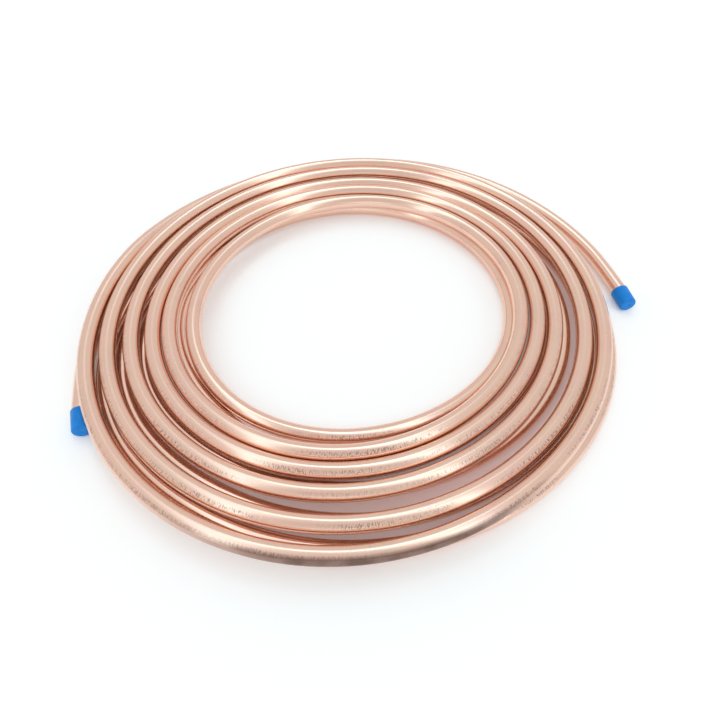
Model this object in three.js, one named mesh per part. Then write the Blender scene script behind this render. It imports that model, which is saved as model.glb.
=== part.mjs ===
// Copper tube coil: soft copper tube, 5/8 inch (15.88 mm) outside, wound as two flat layers.
// The tube starts at the outside of the lower layer, spirals inwards on the floor, climbs one
// tube height at the eye and spirals outwards again on top. Both ends spring open a little and
// wear a blue plastic cap. Seen from above the winding runs clockwise from the lower end.
// Millimetres, +Z up. The origin lies on the floor in the middle of the coil's footprint.

import * as THREE from 'three';

// ---- Tube section -------------------------------------------------------------------------
const TUBE_OD = 15.88;
const TUBE_WALL = 1.02;
const OUTER_SIDES = 12;
const BORE_SIDES = 6;

// ---- Winding ------------------------------------------------------------------------------
// A place along the tube is counted in turns: whole turns lie on the -X side of the coil and
// half turns on the +X side. The radii are the centreline's at every half turn.
const HALF_TURN_RADII = [
  265, 268, 249, 250, 228.5, 227, 206.3, 206.5, 185, 174.5,               // lower layer, inwards
  165, 184.5, 189.8, 202.4, 206.5, 220.5, 228, 250, 250, 270, 268, 271,       // upper, outwards
];
const FIRST_TURN = -0.067;
const LAST_TURN = 10.483;
const STEPS_PER_TURN = 30;
const LAYER_SHIFT = new THREE.Vector2(6, -11.5); // the lower layer's centre against the upper's
const SHIFT_FADE = [0.5, 4];                    // turns over which the two centres meet
const OVAL = { lower: 8, upper: 6.5 };          // added along one diagonal, taken off the other
const LOWER_OVAL_TURN = 0.05;                   // turns by which the lower layer's oval is turned
// Bends of the lower turns: the turn of the middle, the reach in turns and the height outwards.
const BENDS = [
  [0.93, 0.11, 6.5], [1.935, 0.11, 7.5], [2.94, 0.11, 8.5], [3.89, 0.14, -11.8], [4.26, 0.25, 8.7],
];
const SLACK = { from: 9.6, turns: 0.42, radius: 5 };  // of the upper layer's last turn

// ---- Heights ------------------------------------------------------------------------------
const LAYER_GAP = 0.3;                          // clear height between the two layers
const LOWER_HEIGHT = TUBE_OD / 2;               // of the centreline over the floor
const LAYER_RISE = TUBE_OD + LAYER_GAP;
const CLIMB = [4.7, 5.02];                      // turns over which the tube climbs a layer
const SAG = [10.02, 10.2];                      // turns over which the upper end comes down
const LIFT = [FIRST_TURN, -0.045];              // turns over which the lower end is raised

// ---- Free ends ----------------------------------------------------------------------------
const LOWER_FLARE = { turns: 0.12, radius: 14.5 };     // how far each end springs outwards
const UPPER_FLARE = { turns: 0.393, radius: 39 };
const FLARE_POWER = 1.1;
const STRAIGHT_END = 28;                        // the cap sits on a straight piece
const TANGENT_STEP = 0.001;                     // turns, to find the direction of that piece

// ---- End caps -----------------------------------------------------------------------------
const CAP_OD = 18.6;
const CAP_LENGTH = 23;
const CAP_FLOOR = 2;                            // thickness of the closed end
const CAP_EDGE = 1.2;                           // bevel round the closed end
const CAP_SIDES = 24;
const FIT_GAP = 0.3;                            // between the tube and its cap
const REST_HEIGHT = CAP_OD / 2;                 // of a capped end that lies on the floor

const COPPER = new THREE.MeshStandardMaterial({ color: 0xc9795c, roughness: 0.32, metalness: 1 });
const BLUE_PLASTIC = new THREE.MeshStandardMaterial({ color: 0x1b74c8, roughness: 0.45, metalness: 0 });

const UP = new THREE.Vector3(0, 0, 1);
const { clamp, lerp, smoothstep } = THREE.MathUtils;

const halfTurnCurve = new THREE.SplineCurve(
  HALF_TURN_RADII.map((radius, index) => new THREE.Vector2(index, radius)),
);

// How far a free end stands off the winding, the given number of turns into its flare.
function flare({ turns, radius }, turnsIn) {
  return radius * clamp(turnsIn / turns, 0, 1) ** FLARE_POWER;
}

function oval(turn) {
  const layer = smoothstep(turn, ...CLIMB);
  const turned = turn - lerp(LOWER_OVAL_TURN, 0, layer);
  return lerp(OVAL.lower, OVAL.upper, layer) * Math.sin(4 * Math.PI * turned);
}

function bends(turn) {
  return BENDS.reduce((sum, [middle, reach, height]) => {
    const away = Math.min(Math.abs(turn - middle) / reach, 1);
    return sum + height * Math.cos(Math.PI / 2 * away) ** 2;
  }, 0);
}

function slack(turn) {
  const share = clamp((turn - SLACK.from) / SLACK.turns, 0, 1);
  return SLACK.radius * Math.sin(Math.PI * share) ** 2;
}

function radiusAt(turn) {
  const share = clamp((2 * turn) / (HALF_TURN_RADII.length - 1), 0, 1);
  const lowerFlare = flare(LOWER_FLARE, FIRST_TURN + LOWER_FLARE.turns - turn);
  const upperFlare = flare(UPPER_FLARE, turn - LAST_TURN + UPPER_FLARE.turns);
  return halfTurnCurve.getPoint(share).y - oval(turn) + bends(turn) + slack(turn)
    + lowerFlare + upperFlare;
}

function heightAt(turn) {
  const layer = LOWER_HEIGHT + LAYER_RISE * smoothstep(turn, ...CLIMB);
  const lowered = lerp(layer, REST_HEIGHT, smoothstep(turn, ...SAG));
  return lerp(REST_HEIGHT, lowered, smoothstep(turn, ...LIFT));
}

function woundPoint(turn) {
  const azimuth = Math.PI * (1 - 2 * turn);
  const shiftShare = 1 - smoothstep(turn, ...SHIFT_FADE);
  return new THREE.Vector3(
    radiusAt(turn) * Math.cos(azimuth) + LAYER_SHIFT.x * shiftShare,
    radiusAt(turn) * Math.sin(azimuth) + LAYER_SHIFT.y * shiftShare,
    heightAt(turn),
  );
}

// The tube's end point, STRAIGHT_END past the given turn along the tangent there.
function endPoint(turn, outwards) {
  const start = woundPoint(turn);
  const justBefore = woundPoint(turn - outwards * TANGENT_STEP);
  const direction = start.clone().sub(justBefore).setZ(0).normalize();
  return start.addScaledVector(direction, STRAIGHT_END);
}

function centreline() {
  const steps = Math.round((LAST_TURN - FIRST_TURN) * STEPS_PER_TURN);
  const wound = Array.from({ length: steps + 1 }, (_, index) =>
    woundPoint(lerp(FIRST_TURN, LAST_TURN, index / steps)));
  return [endPoint(FIRST_TURN, -1), ...wound, endPoint(LAST_TURN, 1)];
}

// A path through given stations whose section keeps one side level all the way.
class LevelPath extends THREE.Curve {
  constructor(stations) {
    super();
    this.stations = stations;
  }

  getSpacedPoints() {
    return this.stations;
  }

  computeFrenetFrames() {
    const last = this.stations.length - 1;
    const tangents = this.stations.map((_, index) => {
      const ahead = this.stations[Math.min(index + 1, last)];
      const behind = this.stations[Math.max(index - 1, 0)];
      return ahead.clone().sub(behind).normalize();
    });
    const normals = tangents.map((tangent) =>
      new THREE.Vector3().crossVectors(UP, tangent).normalize());
    const binormals = tangents.map((tangent, index) =>
      new THREE.Vector3().crossVectors(tangent, normals[index]));
    return { tangents, normals, binormals };
  }
}

// A regular polygon whose first corner lines up with a corner of the outer section, which has
// a flat at the top, at the bottom and on either side.
function polygonPoints(cornerRadius, sides) {
  return Array.from({ length: sides }, (_, index) => {
    const angle = Math.PI / OUTER_SIDES + (index * 2 * Math.PI) / sides;
    return new THREE.Vector2(cornerRadius * Math.cos(angle), cornerRadius * Math.sin(angle));
  });
}

const OUTER_CORNER = TUBE_OD / 2 / Math.cos(Math.PI / OUTER_SIDES);

// Outside, the flats stand TUBE_OD apart. Inside, the polygon has the area of the round bore.
function tubeSection() {
  const boreTurn = (2 * Math.PI) / BORE_SIDES;
  const boreCorner = (TUBE_OD / 2 - TUBE_WALL) * Math.sqrt(boreTurn / Math.sin(boreTurn));
  const section = new THREE.Shape(polygonPoints(OUTER_CORNER, OUTER_SIDES));
  section.holes.push(new THREE.Path(polygonPoints(boreCorner, BORE_SIDES)));
  return section;
}

function copperTube(stations) {
  const geometry = new THREE.ExtrudeGeometry(tubeSection(), {
    steps: stations.length - 1,
    extrudePath: new LevelPath(stations),
  });
  const tube = new THREE.Mesh(geometry, COPPER);
  tube.name = 'copper_tube';
  return tube;
}

// A cup slid over the tube's end, which stands FIT_GAP off the cup's floor.
function endCap(name, tip, beforeTip) {
  const outer = CAP_OD / 2;
  const inner = OUTER_CORNER + FIT_GAP;
  const profile = [
    [0, 0], [outer - CAP_EDGE, 0], [outer, CAP_EDGE], [outer, CAP_LENGTH],
    [inner, CAP_LENGTH], [inner, CAP_FLOOR], [0, CAP_FLOOR],
  ].map(([radius, along]) => new THREE.Vector2(radius, along));
  const cap = new THREE.Mesh(new THREE.LatheGeometry(profile, CAP_SIDES), BLUE_PLASTIC);
  const inwards = beforeTip.clone().sub(tip).normalize();
  cap.quaternion.setFromUnitVectors(new THREE.Vector3(0, 1, 0), inwards);
  cap.position.copy(tip).addScaledVector(inwards, -CAP_FLOOR - FIT_GAP);
  cap.name = name;
  return cap;
}

const stations = centreline();
const coil = new THREE.Group();
coil.add(
  copperTube(stations),
  endCap('end_cap_lower', stations[0], stations[1]),
  endCap('end_cap_upper', stations.at(-1), stations.at(-2)),
);

// Centre the footprint on the origin.
const footprint = new THREE.Box3().setFromObject(coil).getCenter(new THREE.Vector3());
coil.position.set(-footprint.x, -footprint.y, 0);

export default coil;
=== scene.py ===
"""Copper tube coil: the finished surfaces of the packed part, its floor, light and camera.

Metres, +Z up, in the packed part's own frame. The tube is one length of soft copper tube wound
in two flat layers, with a plastic cap pushed on each end.
"""

import math

import bmesh
import bpy
from bpy.props import FloatProperty, FloatVectorProperty, IntProperty, PointerProperty
from mathutils import Matrix, Vector


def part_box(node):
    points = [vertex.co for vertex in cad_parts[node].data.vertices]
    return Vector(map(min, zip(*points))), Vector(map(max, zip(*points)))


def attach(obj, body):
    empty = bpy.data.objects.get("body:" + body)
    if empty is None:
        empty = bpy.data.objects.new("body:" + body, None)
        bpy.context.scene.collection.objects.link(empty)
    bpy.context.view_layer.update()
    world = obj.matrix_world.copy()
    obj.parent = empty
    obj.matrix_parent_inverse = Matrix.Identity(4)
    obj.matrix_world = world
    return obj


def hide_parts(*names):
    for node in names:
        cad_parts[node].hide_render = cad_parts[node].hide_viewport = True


bl_info = {
    "name": "Copper Tube Coil",
    "version": (1, 0, 0),
    "blender": (4, 5, 0),
    "location": "View3D > Sidebar > Tube Coil",
    "description": "Winds a coil of soft copper tube with capped ends and sets its stage",
    "category": "Object",
}

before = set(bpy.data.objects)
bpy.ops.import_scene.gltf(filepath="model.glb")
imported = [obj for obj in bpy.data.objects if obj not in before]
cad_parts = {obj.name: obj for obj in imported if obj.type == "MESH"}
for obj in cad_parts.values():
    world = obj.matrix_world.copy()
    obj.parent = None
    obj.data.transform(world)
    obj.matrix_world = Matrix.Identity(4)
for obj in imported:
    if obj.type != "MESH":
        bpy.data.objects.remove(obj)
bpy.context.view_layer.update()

# Attribute that holds where a point of the surface would be on the straight tube: X is the length
# along it, negative Y is away from the coil's middle and negative Z is up.
UNWOUND = "unwound"


# ---- Settings -----------------------------------------------------------------------------

class TubeSettings(bpy.types.PropertyGroup):
    """The tube and the route it is wound along."""

    outside_diameter: FloatProperty(
        name="Outside diameter", description="Outside diameter of the tube",
        default=0.01588, min=0.004, unit="LENGTH", precision=5)
    wall: FloatProperty(
        name="Wall", description="Thickness of the tube's wall",
        default=0.00102, min=0.0003, unit="LENGTH", precision=5)
    outer_sides: IntProperty(
        name="Outer sides", description="Faces around the outside of the tube",
        default=36, min=12, max=64)
    bore_sides: IntProperty(
        name="Bore sides", description="Faces around the bore", default=8, min=6, max=32)
    station_spacing: FloatProperty(
        name="Station spacing", description="Length of tube between two rings of faces",
        default=0.0082, min=0.004, unit="LENGTH", precision=4)
    half_turn_radii: FloatVectorProperty(
        name="Half turn radii", description="Radius of the centreline at every half turn",
        size=22, unit="LENGTH", precision=4,
        default=(
            0.265, 0.268, 0.249, 0.250, 0.2285, 0.227, 0.2063, 0.2065, 0.185, 0.1745,
            0.165, 0.1845, 0.1898, 0.2024, 0.2065, 0.2205, 0.228, 0.250, 0.250, 0.270,
            0.268, 0.271))
    first_turn: FloatProperty(
        name="First turn", description="Turn at which the lower end leaves the winding",
        default=-0.067)
    last_turn: FloatProperty(
        name="Last turn", description="Turn at which the upper end leaves the winding",
        default=10.483)
    steps_per_turn: IntProperty(
        name="Steps per turn", description="Stations worked out in each turn", default=30)
    oval: FloatVectorProperty(
        name="Oval", description="Added to the lower and the upper layer along one diagonal",
        size=2, default=(0.008, 0.0065), unit="LENGTH", precision=4)
    lower_oval_turn: FloatProperty(
        name="Lower oval turn", description="Turns by which the lower layer's oval is turned",
        default=0.05)
    bend_turns: FloatVectorProperty(
        name="Bend turns", description="Places at which lower turns bend out of their line",
        size=5, default=(0.93, 1.935, 2.94, 3.89, 4.26))
    bend_reaches: FloatVectorProperty(
        name="Bend reaches", description="Turns to either side over which a bend fades",
        size=5, default=(0.11, 0.11, 0.11, 0.14, 0.25))
    bend_heights: FloatVectorProperty(
        name="Bend heights", description="How far each bend stands outwards",
        size=5, unit="LENGTH", precision=4, default=(0.0065, 0.0075, 0.0085, -0.0118, 0.0087))
    slack_turns: FloatVectorProperty(
        name="Slack turns", description="Turns between which the last turn stands off",
        size=2, default=(9.6, 10.02))
    slack: FloatProperty(
        name="Slack", description="How far the last turn stands off",
        default=0.005, unit="LENGTH", precision=4)
    layer_shift: FloatVectorProperty(
        name="Layer shift", description="Lower layer's centre against the upper layer's",
        size=2, unit="LENGTH", precision=4, default=(0.006, -0.0115))
    shift_fade: FloatVectorProperty(
        name="Shift fade", description="Turns over which the two centres meet",
        size=2, default=(0.5, 4.0))
    layer_gap: FloatProperty(
        name="Layer gap", description="Clear height between the two layers",
        default=0.0003, unit="LENGTH", precision=5)
    climb: FloatVectorProperty(
        name="Climb", description="Turns over which the tube climbs a layer",
        size=2, default=(4.7, 5.02))
    sag: FloatVectorProperty(
        name="Sag", description="Turns over which the upper end comes down",
        size=2, default=(10.02, 10.2))
    lift: FloatVectorProperty(
        name="Lift", description="Turns over which the lower end is raised",
        size=2, default=(-0.067, -0.045))
    lower_flare: FloatVectorProperty(
        name="Lower flare", description="Turns and height of the lower end's spring outwards",
        size=2, precision=4, default=(0.12, 0.0145))
    upper_flare: FloatVectorProperty(
        name="Upper flare", description="Turns and height of the upper end's spring outwards",
        size=2, precision=4, default=(0.393, 0.039))
    flare_power: FloatProperty(
        name="Flare power", description="How gently an end starts to spring outwards",
        default=1.1)
    straight_end: FloatProperty(
        name="Straight end", description="Length of the straight piece under a cap",
        default=0.028, unit="LENGTH", precision=4)


class CapSettings(bpy.types.PropertyGroup):
    """The plastic cap on each end of the tube."""

    diameter: FloatProperty(
        name="Diameter", description="Outside diameter at the mouth",
        default=0.0186, unit="LENGTH", precision=4)
    length: FloatProperty(
        name="Length", description="Length of the cap", default=0.023, unit="LENGTH", precision=4)
    taper: FloatProperty(
        name="Taper", description="How much narrower the closed end is",
        default=0.0003, unit="LENGTH", precision=5)
    floor: FloatProperty(
        name="Floor", description="Thickness of the closed end",
        default=0.002, unit="LENGTH", precision=4)
    edge_radius: FloatProperty(
        name="Edge radius", description="Rounding of the closed end's edge",
        default=0.0022, unit="LENGTH", precision=4)
    rim_radius: FloatProperty(
        name="Rim radius", description="Rounding of the mouth's edges",
        default=0.0003, unit="LENGTH", precision=5)
    gap: FloatProperty(
        name="Gap", description="Room between the tube and its cap",
        default=0.00015, unit="LENGTH", precision=5)
    end_gap: FloatProperty(
        name="End gap", description="Room between the tube's end and the cap's floor",
        default=0.0003, unit="LENGTH", precision=5)
    sides: IntProperty(name="Sides", description="Faces around the cap", default=64, min=24)


class FinishSettings(bpy.types.PropertyGroup):
    """Colours and polish of the copper and of the plastic."""

    copper: FloatVectorProperty(
        name="Copper", description="Main tone of the drawn copper",
        size=3, subtype="COLOR", min=0.0, max=1.0, default=(0.92, 0.62, 0.495))
    straw: FloatVectorProperty(
        name="Straw", description="Yellower tone that drifts along the copper",
        size=3, subtype="COLOR", min=0.0, max=1.0, default=(0.91, 0.632, 0.50))
    rose: FloatVectorProperty(
        name="Rose", description="Cooler tone that drifts along the copper",
        size=3, subtype="COLOR", min=0.0, max=1.0, default=(0.92, 0.61, 0.505))
    rubbed: FloatVectorProperty(
        name="Rubbed", description="Tone of scuffs and of dulled spots",
        size=3, subtype="COLOR", min=0.0, max=1.0, default=(0.36, 0.24, 0.21))
    # Painted shade: the dark tone of the outermost turn's near side, in place of its reflection of
    # the shaded floor.
    painted_shade_tone: FloatVectorProperty(
        name="Painted_shade", description="Tone of the darkened outside of the outermost turn",
        size=3, subtype="COLOR", min=0.0, max=1.0, default=(0.15, 0.085, 0.07))
    copper_roughness: FloatProperty(
        name="Copper roughness", description="Polish of clean copper",
        default=0.20, min=0.0, max=1.0)
    plastic: FloatVectorProperty(
        name="Plastic", description="Colour of the caps",
        size=3, subtype="COLOR", min=0.0, max=1.0, default=(0.004, 0.250, 0.780))
    plastic_roughness: FloatProperty(
        name="Plastic roughness", description="Polish of the caps",
        default=0.42, min=0.0, max=1.0)


class StageSettings(bpy.types.PropertyGroup):
    """Floor, light and camera."""

    floor_radius: FloatProperty(
        name="Floor radius", description="Radius of the floor", default=6.0, unit="LENGTH")
    floor_colour: FloatVectorProperty(
        name="Floor colour", description="Colour of the floor",
        size=3, subtype="COLOR", min=0.0, max=1.0, default=(0.97, 0.95, 0.94))
    # Painted light: the tone that copper's bounce light gives the shaded floor under the coil,
    # painted into the floor's colour.
    shaded_colour: FloatVectorProperty(
        name="Shaded colour", description="Colour of the floor that copper light reaches",
        size=3, subtype="COLOR", min=0.0, max=1.0, default=(0.93, 0.64, 0.58))
    sky_strength: FloatProperty(
        name="Sky strength", description="Level of the even light from all round",
        default=0.775, min=0.0)
    soft_box_colour: FloatVectorProperty(
        name="Soft box colour", description="Colour of the soft boxes",
        size=3, subtype="COLOR", min=0.0, max=1.0, default=(0.64, 0.91, 1.0))
    soft_box_strengths: FloatVectorProperty(
        name="Soft box strengths", description="Levels of the left, right, low and back ones",
        size=4, default=(1.18, 1.38, 0.50, 1.25), min=0.0)
    camera_shade: FloatProperty(
        name="Camera shade", description="How much light the camera's own shape takes away",
        default=0.07, min=0.0)
    floor_lift: FloatProperty(
        name="Floor lift", description="How much whiter the floor is shown than it is lit",
        default=0.14, min=0.0)
    camera_place: FloatVectorProperty(
        name="Camera place", description="Where the camera stands, from the winding's centre",
        size=3, subtype="TRANSLATION", unit="LENGTH", precision=4,
        default=(0.0, -0.3933, 0.4239))
    camera_angles: FloatVectorProperty(
        name="Camera angles", description="Tilt, roll and turn of the camera",
        size=3, subtype="EULER", unit="ROTATION",
        default=(math.radians(37.551), math.radians(-0.833), math.radians(-0.640)))
    focal_length: FloatProperty(
        name="Focal length", description="Focal length of the lens in millimetres",
        default=25.5)


# ---- The winding's route ------------------------------------------------------------------

TANGENT_STEP = 0.001    # turns, to find the direction of a free end


def clamp(value):
    return min(max(value, 0.0), 1.0)


def mix(start, end, share):
    return start + (end - start) * share


def smoothstep(value, limits):
    share = clamp((value - limits[0]) / (limits[1] - limits[0]))
    return share * share * (3.0 - 2.0 * share)


def between(values, place):
    """The value at a fractional place in a row of values, on a smooth curve through them all."""
    last = len(values) - 1
    index = min(int(place), last)
    share = place - index
    before, here = values[max(index - 1, 0)], values[index]
    after, beyond = values[min(index + 1, last)], values[min(index + 2, last)]
    rise, next_rise = (after - before) / 2.0, (beyond - here) / 2.0
    cubic = 2.0 * (here - after) + rise + next_rise
    square = 3.0 * (after - here) - 2.0 * rise - next_rise
    return ((cubic * share + square) * share + rise) * share + here


class Route:
    """The centreline of the tube. A place along it is counted in turns."""

    def __init__(self, tube, cap_diameter):
        self.tube = tube
        self.rest_height = cap_diameter / 2.0

    def flare(self, flare, turns_in):
        turns, radius = flare
        return radius * clamp(turns_in / turns) ** self.tube.flare_power

    def oval(self, turn):
        layer = smoothstep(turn, self.tube.climb)
        turned = turn - mix(self.tube.lower_oval_turn, 0.0, layer)
        return mix(*self.tube.oval, layer) * math.sin(4.0 * math.pi * turned)

    def bends(self, turn):
        tube = self.tube
        return sum(
            height * math.cos(math.pi / 2.0 * min(abs(turn - middle) / reach, 1.0)) ** 2
            for middle, reach, height in zip(
                tube.bend_turns, tube.bend_reaches, tube.bend_heights))

    def slack(self, turn):
        start, end = self.tube.slack_turns
        return self.tube.slack * math.sin(math.pi * clamp((turn - start) / (end - start))) ** 2

    def radius(self, turn):
        tube = self.tube
        last = len(tube.half_turn_radii) - 1
        place = last * clamp(2.0 * turn / last)
        lower = self.flare(tube.lower_flare, tube.first_turn + tube.lower_flare[0] - turn)
        upper = self.flare(tube.upper_flare, turn - tube.last_turn + tube.upper_flare[0])
        return (between(tube.half_turn_radii, place) - self.oval(turn) + self.bends(turn)
                + self.slack(turn) + lower + upper)

    def height(self, turn):
        tube = self.tube
        rise = tube.outside_diameter + tube.layer_gap
        layer = tube.outside_diameter / 2.0 + rise * smoothstep(turn, tube.climb)
        lowered = mix(layer, self.rest_height, smoothstep(turn, tube.sag))
        return mix(self.rest_height, lowered, smoothstep(turn, tube.lift))

    def point(self, turn):
        tube = self.tube
        azimuth = math.pi * (1.0 - 2.0 * turn)
        share = 1.0 - smoothstep(turn, tube.shift_fade)
        radius = self.radius(turn)
        return Vector((
            radius * math.cos(azimuth) + tube.layer_shift[0] * share,
            radius * math.sin(azimuth) + tube.layer_shift[1] * share,
            self.height(turn)))

    def end(self, turn, outwards):
        start = self.point(turn)
        direction = start - self.point(turn - outwards * TANGENT_STEP)
        direction.z = 0.0
        return start + direction.normalized() * self.tube.straight_end

    def stations(self):
        """Points along the centreline, with the winding's centre on the origin."""
        tube = self.tube
        steps = math.floor((tube.last_turn - tube.first_turn) * tube.steps_per_turn + 0.5)
        wound = [
            self.point(mix(tube.first_turn, tube.last_turn, index / steps))
            for index in range(steps + 1)]
        return [self.end(tube.first_turn, -1), *wound, self.end(tube.last_turn, 1)]


def footprint_shift(stations):
    """What carries the winding's centre to its place in the packed part's frame."""
    low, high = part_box("copper_tube")
    middle = [
        (min(p[axis] for p in stations) + max(p[axis] for p in stations)) / 2.0
        for axis in range(2)]
    return Vector(((low.x + high.x) / 2.0 - middle[0], (low.y + high.y) / 2.0 - middle[1], 0.0))


def placed_stations(scene):
    route = Route(scene.coil_tube, scene.coil_cap.diameter)
    stations = route.stations()
    shift = footprint_shift(stations)
    return [point + shift for point in stations]


# ---- Node helpers -------------------------------------------------------------------------

def add_node(tree, kind, inputs=None, **settings):
    """A node with its settings, and its inputs either set or joined to another node."""
    node = tree.nodes.new(kind)
    for name, value in settings.items():
        setattr(node, name, value)
    for key, value in (inputs or {}).items():
        if isinstance(value, bpy.types.NodeSocket):
            tree.links.new(value, node.inputs[key])
        else:
            node.inputs[key].default_value = value
    return node


def add_sockets(tree, direction, sockets):
    """Named sockets of a group, given as name: (kind, default)."""
    for name, (kind, default) in sockets.items():
        socket = tree.interface.new_socket(name, in_out=direction, socket_type=kind)
        if default is not None:
            socket.default_value = default


def maths(tree, operation, *values):
    return add_node(
        tree, "ShaderNodeMath", dict(enumerate(values)), operation=operation).outputs["Value"]


def multiplied(tree, *values):
    product = values[0]
    for value in values[1:]:
        product = maths(tree, "MULTIPLY", product, value)
    return product


def noise(tree, vector, scale, detail, roughness=0.5):
    return add_node(tree, "ShaderNodeTexNoise", {
        "Vector": vector, "Scale": scale, "Detail": detail, "Roughness": roughness,
    }).outputs["Fac"]


def ramp_between(tree, value, low, high, low_result=0.0, high_result=1.0):
    node = add_node(tree, "ShaderNodeMapRange", {
        "Value": value, "From Min": low, "From Max": high,
        "To Min": low_result, "To Max": high_result})
    return node.outputs["Result"]


def mixed_colour(tree, share, first, second):
    node = add_node(tree, "ShaderNodeMix", {
        "Factor": share, 6: first, 7: second}, data_type="RGBA")
    return node.outputs[2]


def new_material(name):
    """A material with an empty node tree and its output node."""
    material = bpy.data.materials.new(name)
    material.use_nodes = True
    material.node_tree.nodes.clear()
    return material, material.node_tree, add_node(material.node_tree, "ShaderNodeOutputMaterial")


def set_modifier_inputs(modifier, values):
    for item in modifier.node_group.interface.items_tree:
        if item.item_type == "SOCKET" and item.in_out == "INPUT" and item.name in values:
            modifier[item.identifier] = values[item.name]


def mesh_object(name, mesh, *materials):
    piece = bpy.data.objects.new(name, mesh)
    bpy.context.scene.collection.objects.link(piece)
    for material in materials:
        if material.name not in mesh.materials:
            mesh.materials.append(material)
    return piece


# ---- Shared surface effects ---------------------------------------------------------------

PATCH_RANGE = (0.52, 0.66)      # noise between which a patch of marks sets in
MARK_RANGE = (0.50, 0.66)       # and a single mark


def handling_marks_group():
    """Scuffs and specks: patches of fine marks that come and go over a surface."""
    name = "Handling Marks"
    if name in bpy.data.node_groups:
        return bpy.data.node_groups[name]
    group = bpy.data.node_groups.new(name, "ShaderNodeTree")
    add_sockets(group, "INPUT", {
        "Vector": ("NodeSocketVector", None),
        "Patch Scale": ("NodeSocketFloat", 14.0),
        "Mark Scale": ("NodeSocketFloat", 700.0),
        "Amount": ("NodeSocketFloat", 0.5),
    })
    add_sockets(group, "OUTPUT", {"Marks": ("NodeSocketFloat", None)})
    given = add_node(group, "NodeGroupInput").outputs
    patches = noise(group, given["Vector"], given["Patch Scale"], detail=2.0)
    marks = noise(group, given["Vector"], given["Mark Scale"], detail=3.0, roughness=0.6)
    shown = multiplied(
        group, ramp_between(group, patches, *PATCH_RANGE), ramp_between(group, marks, *MARK_RANGE),
        given["Amount"])
    add_node(group, "NodeGroupOutput", {"Marks": shown})
    return group


def drawn_grain_group():
    """Hair-fine lines that run along a drawn or extruded length."""
    name = "Drawn Grain"
    if name in bpy.data.node_groups:
        return bpy.data.node_groups[name]
    group = bpy.data.node_groups.new(name, "ShaderNodeTree")
    add_sockets(group, "INPUT", {
        "Vector": ("NodeSocketVector", None),
        "Along": ("NodeSocketFloat", 9.0),
        "Across": ("NodeSocketFloat", 1100.0),
    })
    add_sockets(group, "OUTPUT", {"Lines": ("NodeSocketFloat", None)})
    given = add_node(group, "NodeGroupInput").outputs
    stretch = add_node(group, "ShaderNodeCombineXYZ", {
        "X": given["Along"], "Y": given["Across"], "Z": given["Across"]})
    stretched = add_node(group, "ShaderNodeVectorMath", {
        0: given["Vector"], 1: stretch.outputs["Vector"]}, operation="MULTIPLY")
    lines = noise(group, stretched.outputs["Vector"], 1.0, detail=3.0, roughness=0.55)
    add_node(group, "NodeGroupOutput", {"Lines": lines})
    return group


# ---- Materials ----------------------------------------------------------------------------

# Pairs of a range say where an effect sets in and where it is full. Those of the unwound tube and
# of the coil are in metres, those of noise run from 0 to 1.
STROKE_SCALE = (1500.0, 330.0, 330.0)   # strokes are narrow along the tube and tall round it
STROKE_RANGE = (0.50, 0.60)
STROKE_WEAR = (0.41, 0.57)
STROKE_INNER_EDGE = (-0.0022, -0.0036)
STROKE_OUTER_EDGE = (-0.0068, -0.0056)
STROKE_SHOULDER = (0.0, -0.0015)

# Painted shade on the outside of the outermost turn, at the coil's near side: where it starts
# along the tube, how far round it reaches, its left, right and near limits, its mottling and its
# amount.
PAINTED_SHADE_START = (13.1, 13.3)            # along the tube, at the start of its last turn
PAINTED_SHADE_OUTWARDS = (-0.0026, -0.0054)
PAINTED_SHADE_LEFT = (-0.20, -0.06)
PAINTED_SHADE_RIGHT = (0.16, 0.08)
PAINTED_SHADE_NEAR = (-0.17, -0.24)
PAINTED_SHADE_CLOUD = (0.35, 0.60, 0.85, 1.0)
PAINTED_SHADE_AMOUNT = 0.95

HANDLED = (-0.05, -0.17, 0.25, 0.85)    # the strokes are plainer on the coil's near side
STRAW_RANGE = (0.40, 0.62)
ROSE_RANGE = (0.48, 0.68)
GRAIN_RANGE = (0.30, 0.70)
GRAIN_POLISH = (-0.04, 0.05)            # what the drawn lines add to the roughness
MARK_DULLNESS = 0.35
MARK_DEPTH = -0.6

DEEP_PLASTIC = 0.82
CHALK = (0.55, 0.18)                    # its level, and how much of it handled spots show
PLASTIC_POLISH = 0.05

EYE_EDGE = (0.174, 0.190)               # from the coil's middle
COIL_EDGE = (0.277, 0.262)


def worn_line(tree, ring, unwound):
    """A line of short dark strokes along the tube's outer shoulder, worn away in places."""
    stretched = add_node(tree, "ShaderNodeVectorMath", {
        0: unwound, 1: STROKE_SCALE}, operation="MULTIPLY").outputs["Vector"]
    strokes = noise(tree, stretched, 1.0, detail=1.0)
    wear = noise(tree, unwound, 9.0, detail=1.0)
    return multiplied(
        tree, ramp_between(tree, strokes, *STROKE_RANGE), ramp_between(tree, wear, *STROKE_WEAR),
        ramp_between(tree, ring["Y"], *STROKE_INNER_EDGE),
        ramp_between(tree, ring["Y"], *STROKE_OUTER_EDGE),
        ramp_between(tree, ring["Z"], *STROKE_SHOULDER))


def painted_shade_side(tree, ring, unwound, place):
    """Painted shade on the outside of the outermost turn, on the coil's near side: a dark tone in
    place of its reflection of the shaded floor.
    """
    cloud = noise(tree, unwound, 60.0, detail=3.0)
    return multiplied(
        tree, ramp_between(tree, ring["X"], *PAINTED_SHADE_START),
        ramp_between(tree, ring["Y"], *PAINTED_SHADE_OUTWARDS),
        ramp_between(tree, place["X"], *PAINTED_SHADE_LEFT),
        ramp_between(tree, place["X"], *PAINTED_SHADE_RIGHT),
        ramp_between(tree, place["Y"], *PAINTED_SHADE_NEAR),
        ramp_between(tree, cloud, *PAINTED_SHADE_CLOUD))


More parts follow.
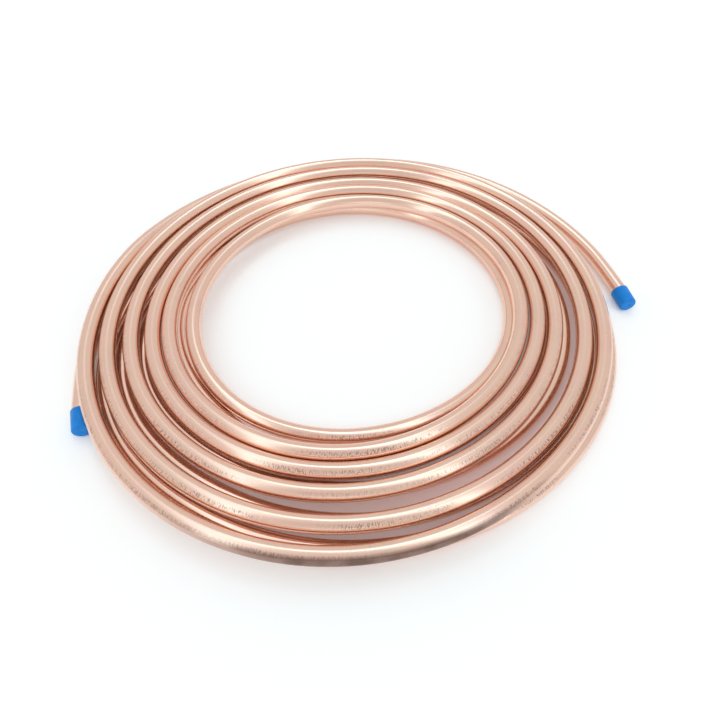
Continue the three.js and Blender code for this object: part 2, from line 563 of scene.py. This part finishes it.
def copper_material(finish):
    """Soft drawn copper: satin, with drifting tones, drawn lines, scuffs and painted shade on the
    outermost turn's near side.
    """
    material, tree, output = new_material("drawn_copper")
    unwound = add_node(tree, "ShaderNodeAttribute", attribute_name=UNWOUND).outputs["Vector"]
    where = add_node(tree, "ShaderNodeTexCoord").outputs["Object"]

    drift = noise(tree, where, 7.0, detail=3.0)
    blush = noise(tree, unwound, 38.0, detail=2.0)
    tone = mixed_colour(
        tree, ramp_between(tree, drift, *STRAW_RANGE), (*finish.copper, 1.0), (*finish.straw, 1.0))
    tone = mixed_colour(tree, ramp_between(tree, blush, *ROSE_RANGE), tone, (*finish.rose, 1.0))

    marks = add_node(tree, "ShaderNodeGroup", {
        "Vector": unwound, "Patch Scale": 16.0, "Mark Scale": 900.0, "Amount": 0.4,
    }, node_tree=handling_marks_group()).outputs["Marks"]
    lines = add_node(tree, "ShaderNodeGroup", {
        "Vector": unwound, "Along": 9.0, "Across": 1100.0,
    }, node_tree=drawn_grain_group()).outputs["Lines"]
    ring = add_node(tree, "ShaderNodeSeparateXYZ", {"Vector": unwound}).outputs
    place = add_node(tree, "ShaderNodeSeparateXYZ", {"Vector": where}).outputs
    handled = ramp_between(tree, place["Y"], *HANDLED)
    strokes = multiplied(tree, worn_line(tree, ring, unwound), handled)
    # Painted shade on the outermost turn's near side.
    dark = multiplied(tree, painted_shade_side(tree, ring, unwound, place), PAINTED_SHADE_AMOUNT)
    colour = mixed_colour(tree, marks, tone, (*finish.rubbed, 1.0))
    colour = mixed_colour(tree, strokes, colour, (*finish.rubbed, 1.0))
    colour = mixed_colour(tree, dark, colour, (*finish.painted_shade_tone, 1.0))

    grain_roughness = ramp_between(
        tree, lines, *GRAIN_RANGE, *(finish.copper_roughness + change for change in GRAIN_POLISH))
    roughness = maths(tree, "MULTIPLY_ADD", marks, MARK_DULLNESS, grain_roughness)
    height = maths(tree, "MULTIPLY_ADD", marks, MARK_DEPTH, lines)
    bump = add_node(tree, "ShaderNodeBump", {
        "Height": height, "Strength": 0.25, "Distance": 0.00004}).outputs["Normal"]

    surface = add_node(tree, "ShaderNodeBsdfPrincipled", {
        "Base Color": colour, "Metallic": 1.0, "Roughness": roughness, "Normal": bump})
    tree.links.new(surface.outputs["BSDF"], output.inputs["Surface"])
    return material


def plastic_material(finish):
    """Satin moulded plastic, a little chalky where it has been handled."""
    material, tree, output = new_material("cap_plastic")
    where = add_node(tree, "ShaderNodeTexCoord").outputs["Object"]
    cloud = noise(tree, where, 120.0, detail=3.0)
    marks = add_node(tree, "ShaderNodeGroup", {
        "Vector": where, "Patch Scale": 90.0, "Mark Scale": 1500.0, "Amount": 0.35,
    }, node_tree=handling_marks_group()).outputs["Marks"]
    deep = tuple(channel * DEEP_PLASTIC for channel in finish.plastic)
    pale = tuple(mix(channel, *CHALK) for channel in finish.plastic)
    tone = mixed_colour(
        tree, ramp_between(tree, cloud, 0.35, 0.65), (*deep, 1.0), (*finish.plastic, 1.0))
    colour = mixed_colour(tree, marks, tone, (*pale, 1.0))
    roughness = ramp_between(
        tree, cloud, 0.30, 0.70, finish.plastic_roughness - PLASTIC_POLISH,
        finish.plastic_roughness + PLASTIC_POLISH)
    grain = noise(tree, where, 2600.0, detail=2.0)
    bump = add_node(tree, "ShaderNodeBump", {
        "Height": grain, "Strength": 0.18, "Distance": 0.00005}).outputs["Normal"]
    surface = add_node(tree, "ShaderNodeBsdfPrincipled", {
        "Base Color": colour, "Roughness": roughness, "Specular IOR Level": 0.25,
        "Normal": bump})
    tree.links.new(surface.outputs["BSDF"], output.inputs["Surface"])
    return material


def floor_material(stage, centre):
    """A plain white floor, with copper's bounce light and shade painted in as a warmer, darker
    tone under the coil.
    """
    material, tree, output = new_material("studio_floor")
    where = add_node(tree, "ShaderNodeTexCoord").outputs["Object"]
    from_centre = add_node(tree, "ShaderNodeVectorMath", {
        0: where, 1: tuple(centre)}, operation="DISTANCE").outputs["Value"]
    rays = add_node(tree, "ShaderNodeLightPath").outputs
    seen = rays["Is Camera Ray"]
    for kind in ("Is Glossy Ray", "Is Transmission Ray"):
        seen = maths(tree, "MAXIMUM", seen, rays[kind])
    lift = multiplied(tree, seen, stage.floor_lift)
    # Painted bounce light and shade: the ring of floor under the coil takes the shaded colour.
    under_coil = multiplied(
        tree, ramp_between(tree, from_centre, *EYE_EDGE),
        ramp_between(tree, from_centre, *COIL_EDGE))
    colour = mixed_colour(
        tree, under_coil, (*stage.floor_colour, 1.0), (*stage.shaded_colour, 1.0))
    surface = add_node(tree, "ShaderNodeBsdfPrincipled", {
        "Base Color": colour, "Roughness": 0.9, "Specular IOR Level": 0.1,
        "Emission Color": (1.0, 1.0, 1.0, 1.0), "Emission Strength": lift})
    tree.links.new(surface.outputs["BSDF"], output.inputs["Surface"])
    return material


# ---- The tube -----------------------------------------------------------------------------

CURVE_STEPS = 12                        # of the smooth centreline, between two stations
TUBE_SHARP_ANGLE = math.radians(40.0)


def tube_tree():
    """A hollow tube along a centreline: its outside and its bore, with the unwound place."""
    tree = bpy.data.node_groups.new("Tube Along Winding", "GeometryNodeTree")
    add_sockets(tree, "INPUT", {
        "Centreline": ("NodeSocketGeometry", None),
        "Outside Diameter": ("NodeSocketFloat", 0.01588),
        "Wall": ("NodeSocketFloat", 0.00102),
        "Outer Sides": ("NodeSocketInt", 36),
        "Bore Sides": ("NodeSocketInt", 8),
        "Station Spacing": ("NodeSocketFloat", 0.0082),
        "Material": ("NodeSocketMaterial", None),
    })
    add_sockets(tree, "OUTPUT", {"Tube": ("NodeSocketGeometry", None)})
    given = add_node(tree, "NodeGroupInput").outputs

    line = add_node(tree, "GeometryNodeMeshToCurve", {"Mesh": given["Centreline"]})
    smooth = add_node(tree, "GeometryNodeCurveSplineType", {
        "Curve": line.outputs["Curve"]}, spline_type="CATMULL_ROM")
    fine = add_node(tree, "GeometryNodeSetSplineResolution", {
        "Geometry": smooth.outputs["Curve"], "Resolution": CURVE_STEPS})
    spaced = add_node(tree, "GeometryNodeResampleCurve", {
        "Curve": fine.outputs["Geometry"], "Length": given["Station Spacing"]}, mode="LENGTH")
    level = add_node(tree, "GeometryNodeSetCurveNormal", {
        "Curve": spaced.outputs["Curve"]}, mode="Z_UP")
    length = add_node(tree, "GeometryNodeSplineParameter").outputs["Length"]
    measured = add_node(tree, "GeometryNodeStoreNamedAttribute", {
        "Geometry": level.outputs["Curve"], "Name": "along", "Value": length},
        data_type="FLOAT", domain="POINT")

    outer_radius = maths(tree, "MULTIPLY", given["Outside Diameter"], 0.5)
    bore_radius = maths(tree, "SUBTRACT", outer_radius, given["Wall"])
    walls = [
        swept_ring(tree, measured.outputs["Geometry"], outer_radius, given["Outer Sides"]),
        swept_ring(tree, measured.outputs["Geometry"], bore_radius, given["Bore Sides"]),
    ]
    joined = tree.nodes.new("GeometryNodeJoinGeometry")
    for wall in reversed(walls):
        tree.links.new(wall, joined.inputs["Geometry"])

    along = named_value(tree, "along", "FLOAT")
    ring = add_node(tree, "ShaderNodeSeparateXYZ", {
        "Vector": named_value(tree, "ring", "FLOAT_VECTOR")})
    straight = add_node(tree, "ShaderNodeCombineXYZ", {
        "X": along, "Y": ring.outputs["X"], "Z": ring.outputs["Y"]})
    unwound = add_node(tree, "GeometryNodeStoreNamedAttribute", {
        "Geometry": joined.outputs["Geometry"], "Name": UNWOUND,
        "Value": straight.outputs["Vector"]}, data_type="FLOAT_VECTOR", domain="POINT")
    real = add_node(tree, "GeometryNodeRealizeInstances", {
        "Geometry": unwound.outputs["Geometry"]})
    finished = add_node(tree, "GeometryNodeSetMaterial", {
        "Geometry": real.outputs["Geometry"], "Material": given["Material"]})
    add_node(tree, "NodeGroupOutput", {"Tube": finished.outputs["Geometry"]})
    return tree


def swept_ring(tree, path, radius, sides):
    """One wall of the tube, which carries each point's place on the ring it came from."""
    circle = add_node(tree, "GeometryNodeCurvePrimitiveCircle", {
        "Resolution": sides, "Radius": radius}, mode="RADIUS")
    place = add_node(tree, "GeometryNodeInputPosition").outputs["Position"]
    ring = add_node(tree, "GeometryNodeStoreNamedAttribute", {
        "Geometry": circle.outputs["Curve"], "Name": "ring", "Value": place},
        data_type="FLOAT_VECTOR", domain="POINT")
    wall = add_node(tree, "GeometryNodeCurveToMesh", {
        "Curve": path, "Profile Curve": ring.outputs["Geometry"]})
    return wall.outputs["Mesh"]


def named_value(tree, name, kind):
    return add_node(
        tree, "GeometryNodeInputNamedAttribute", {"Name": name}, data_type=kind,
    ).outputs["Attribute"]


def centreline_object(stations):
    mesh = bpy.data.meshes.new("centreline")
    edges = [(index, index + 1) for index in range(len(stations) - 1)]
    mesh.from_pydata(stations, edges, [])
    return mesh_object("centreline", mesh)


def close_tube_ends(mesh, tips, reach):
    """Joins the outside to the bore with a ring of faces at each tip."""
    edit = bmesh.new()
    edit.from_mesh(mesh)
    for tip in tips:
        rim = [
            edge for edge in edit.edges
            if edge.is_boundary and (edge.verts[0].co - tip).length < reach]
        bmesh.ops.bridge_loops(edit, edges=rim)
    bmesh.ops.recalc_face_normals(edit, faces=edit.faces)
    edit.to_mesh(mesh)
    edit.free()


class COIL_OT_wind_tube(bpy.types.Operator):
    """Wind the copper tube along its two flat layers"""

    bl_idname = "coil.wind_tube"
    bl_label = "Wind Tube"

    def execute(self, context):
        scene = context.scene
        tube = scene.coil_tube
        stations = placed_stations(scene)
        line = centreline_object(stations)
        modifier = line.modifiers.new("Tube", "NODES")
        modifier.node_group = tube_tree()
        set_modifier_inputs(modifier, {
            "Outside Diameter": tube.outside_diameter,
            "Wall": tube.wall,
            "Outer Sides": tube.outer_sides,
            "Bore Sides": tube.bore_sides,
            "Station Spacing": tube.station_spacing,
            "Material": copper_material(scene.coil_finish),
        })
        graph = context.evaluated_depsgraph_get()
        mesh = bpy.data.meshes.new_from_object(
            line.evaluated_get(graph), preserve_all_data_layers=True, depsgraph=graph)
        bpy.data.objects.remove(line)
        mesh.name = "wound_tube"
        close_tube_ends(mesh, (stations[0], stations[-1]), tube.outside_diameter)
        mesh.shade_smooth()
        mesh.set_sharp_from_angle(angle=TUBE_SHARP_ANGLE)
        piece = mesh_object("wound_tube", mesh)
        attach(piece, "root")
        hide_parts("copper_tube")
        return {"FINISHED"}


# ---- The caps -----------------------------------------------------------------------------

DIMPLE_RADIUS = 0.0021                  # of the moulding mark in the closed end
DIMPLE_DEPTH = 0.00025
INNER_BEVEL = 0.0005
ON_AXIS = 1e-7
CAP_SHARP_ANGLE = math.radians(42.0)


def rounded_corner(centre, radius, start, end, steps):
    """Points of an arc, as (along, radius) pairs. Angles are in degrees from the cap's axis."""
    points = []
    for step in range(steps + 1):
        angle = math.radians(mix(start, end, step / steps))
        points.append((
            centre[0] - radius * math.cos(angle), centre[1] + radius * math.sin(angle)))
    return points


def cap_profile(cap, tube):
    """Half of the cap's section, from the middle of its closed end round to its inner floor."""
    mouth = cap.diameter / 2.0
    shoulder = mouth - cap.taper
    bore = tube.outside_diameter / 2.0 + cap.gap
    edge, rim = cap.edge_radius, cap.rim_radius
    profile = [
        (DIMPLE_DEPTH, 0.0), (DIMPLE_DEPTH, DIMPLE_RADIUS * 0.75),
        (0.0, DIMPLE_RADIUS), (0.0, DIMPLE_RADIUS * 1.5)]
    profile += rounded_corner((edge, shoulder - edge), edge, 0.0, 90.0, 6)
    profile += rounded_corner((cap.length - rim, mouth - rim), rim, 90.0, 180.0, 3)
    profile += rounded_corner((cap.length - rim, bore + rim), rim, 180.0, 270.0, 3)
    profile += [
        (cap.floor + INNER_BEVEL, bore), (cap.floor, bore - INNER_BEVEL), (cap.floor, 0.0)]
    return profile


def turned_mesh(name, profile, sides, placement):
    """A closed solid of revolution. Profile points are (along, radius), from axis to axis."""
    edit = bmesh.new()
    rings = []
    for along, radius in profile:
        if radius < ON_AXIS:
            rings.append([edit.verts.new((0.0, 0.0, along))] * sides)
            continue
        rings.append([
            edit.verts.new((
                radius * math.cos(2.0 * math.pi * side / sides),
                radius * math.sin(2.0 * math.pi * side / sides), along))
            for side in range(sides)])
    for ring, following in zip(rings[:-1], rings[1:]):
        for side in range(sides):
            beside = (side + 1) % sides
            corners = [ring[side], ring[beside], following[beside], following[side]]
            edit.faces.new(list(dict.fromkeys(corners)))
    bmesh.ops.recalc_face_normals(edit, faces=edit.faces)
    edit.transform(placement)
    mesh = bpy.data.meshes.new(name)
    edit.to_mesh(mesh)
    edit.free()
    mesh.shade_smooth()
    mesh.set_sharp_from_angle(angle=CAP_SHARP_ANGLE)
    return mesh


def cap_placement(cap, tip, before_tip):
    """From the cap's own axes, closed end on the origin, to its place on the tube."""
    inwards = (before_tip - tip).normalized()
    corner = tip - inwards * (cap.floor + cap.end_gap)
    return Matrix.Translation(corner) @ inwards.to_track_quat("Z", "Y").to_matrix().to_4x4()


class COIL_OT_push_on_caps(bpy.types.Operator):
    """Push a plastic cap on each end of the tube"""

    bl_idname = "coil.push_on_caps"
    bl_label = "Push On Caps"

    def execute(self, context):
        scene = context.scene
        cap, tube = scene.coil_cap, scene.coil_tube
        stations = placed_stations(scene)
        plastic = plastic_material(scene.coil_finish)
        profile = cap_profile(cap, tube)
        ends = {
            "end_cap_lower": (stations[0], stations[1]),
            "end_cap_upper": (stations[-1], stations[-2]),
        }
        for node, (tip, before_tip) in ends.items():
            mesh = turned_mesh(
                "pushed_on_" + node, profile, cap.sides, cap_placement(cap, tip, before_tip))
            piece = mesh_object("pushed_on_" + node, mesh, plastic)
            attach(piece, "root")
            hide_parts(node)
        return {"FINISHED"}


# ---- The stage ----------------------------------------------------------------------------

# Patches of the sky, as directions: X where Y is 0, how much X leans as Y grows, half width, and
# the far and near end along Y, each as where it starts and where it is full.
SOFT_BOXES = (
    (-0.35, 0.37, 0.12, (0.58, 0.25), (-0.95, -0.75)),      # left
    (0.30, -0.60, 0.12, (0.62, 0.45), (-0.95, -0.75)),      # right
    (0.0, 0.0, 0.50, (-0.92, -0.97), (-1.02, -1.01)),       # low, in front
    (0.0, 0.0, 0.24, (0.63, 0.50), (0.33, 0.45)),           # over the back
)
CAMERA_PATCH = (0.0, 0.0, 0.36, (-0.10, -0.35), (-0.86, -0.72))
FLOOR_SIDES = 96
SENSOR_WIDTH = 36.0
CLIP_RANGE = (0.01, 50.0)


def disc_mesh(name, radius, sides):
    edit = bmesh.new()
    bmesh.ops.create_circle(edit, cap_ends=True, radius=radius, segments=sides)
    mesh = bpy.data.meshes.new(name)
    edit.to_mesh(mesh)
    edit.free()
    return mesh


def sky_patch(tree, axes, middle, lean, half_width, far_end, near_end):
    """A soft-edged patch of the sky, from 0 to 1, that runs from back to front."""
    line = maths(tree, "MULTIPLY_ADD", axes["Y"], lean, middle)
    aside = maths(tree, "ABSOLUTE", maths(tree, "SUBTRACT", axes["X"], line))
    return multiplied(
        tree, ramp_between(tree, aside, half_width, half_width / 2.0),
        ramp_between(tree, axes["Y"], *far_end), ramp_between(tree, axes["Y"], *near_end))


def set_sky(stage):
    """Even light from all round, and soft boxes that only the camera doesn't see."""
    world = bpy.data.worlds.new("studio_sky")
    bpy.context.scene.world = world
    world.use_nodes = True
    tree = world.node_tree
    tree.nodes.clear()
    towards = add_node(tree, "ShaderNodeTexCoord").outputs["Generated"]
    axes = add_node(tree, "ShaderNodeSeparateXYZ", {"Vector": towards}).outputs
    even = ramp_between(
        tree, sky_patch(tree, axes, *CAMERA_PATCH), 0.0, 1.0,
        stage.sky_strength, stage.sky_strength - stage.camera_shade)
    light = add_node(tree, "ShaderNodeBackground", {
        "Color": (1.0, 1.0, 1.0, 1.0), "Strength": even}).outputs["Background"]
    camera_ray = add_node(tree, "ShaderNodeLightPath").outputs["Is Camera Ray"]
    hidden = ramp_between(tree, camera_ray, 1.0, 0.0)
    for box, strength in zip(SOFT_BOXES, stage.soft_box_strengths):
        level = multiplied(tree, sky_patch(tree, axes, *box), strength, hidden)
        glow = add_node(tree, "ShaderNodeBackground", {
            "Color": (*stage.soft_box_colour, 1.0), "Strength": level})
        light = add_node(tree, "ShaderNodeAddShader", {
            0: light, 1: glow.outputs["Background"]}).outputs["Shader"]
    add_node(tree, "ShaderNodeOutputWorld", {"Surface": light})


def set_camera(scene, stage, shift):
    camera = bpy.data.cameras.new("camera")
    camera.lens = stage.focal_length
    camera.sensor_width = SENSOR_WIDTH
    camera.clip_start, camera.clip_end = CLIP_RANGE
    holder = bpy.data.objects.new("camera", camera)
    holder.location = Vector(stage.camera_place) + shift
    holder.rotation_euler = stage.camera_angles
    scene.collection.objects.link(holder)
    scene.camera = holder


class COIL_OT_set_stage(bpy.types.Operator):
    """Set up the floor, the light and the camera"""

    bl_idname = "coil.set_stage"
    bl_label = "Set Stage"

    def execute(self, context):
        scene = context.scene
        stage = scene.coil_stage
        route = Route(scene.coil_tube, scene.coil_cap.diameter)
        centre = footprint_shift(route.stations())
        floor = mesh_object(
            "studio_floor", disc_mesh("studio_floor", stage.floor_radius, FLOOR_SIDES),
            floor_material(stage, centre))
        set_sky(stage)
        set_camera(scene, stage, centre)
        scene.view_settings.view_transform = "Standard"
        return {"FINISHED"}


# ---- Panel and registration ---------------------------------------------------------------

class COIL_PT_sidebar(bpy.types.Panel):
    """Buttons and sizes of the tube coil"""

    bl_label = "Tube Coil"
    bl_idname = "COIL_PT_sidebar"
    bl_space_type = "VIEW_3D"
    bl_region_type = "UI"
    bl_category = "Tube Coil"

    def draw(self, context):
        layout = self.layout
        for operator in (COIL_OT_wind_tube, COIL_OT_push_on_caps, COIL_OT_set_stage):
            layout.operator(operator.bl_idname)
        for settings in ("coil_tube", "coil_cap", "coil_finish", "coil_stage"):
            group = getattr(context.scene, settings)
            box = layout.box()
            box.label(text=type(group).__doc__.rstrip("."))
            for name in type(group).__annotations__:
                box.prop(group, name)


SETTINGS = {
    "coil_tube": TubeSettings,
    "coil_cap": CapSettings,
    "coil_finish": FinishSettings,
    "coil_stage": StageSettings,
}
CLASSES = (
    *SETTINGS.values(), COIL_OT_wind_tube, COIL_OT_push_on_caps, COIL_OT_set_stage,
    COIL_PT_sidebar)


def register():
    for each in CLASSES:
        bpy.utils.register_class(each)
    for name, settings in SETTINGS.items():
        setattr(bpy.types.Scene, name, PointerProperty(type=settings))


def unregister():
    for name in SETTINGS:
        delattr(bpy.types.Scene, name)
    for each in reversed(CLASSES):
        bpy.utils.unregister_class(each)


def main():
    register()
    bpy.ops.coil.wind_tube()
    bpy.ops.coil.push_on_caps()
    bpy.ops.coil.set_stage()


if __name__ == "__main__":
    main()
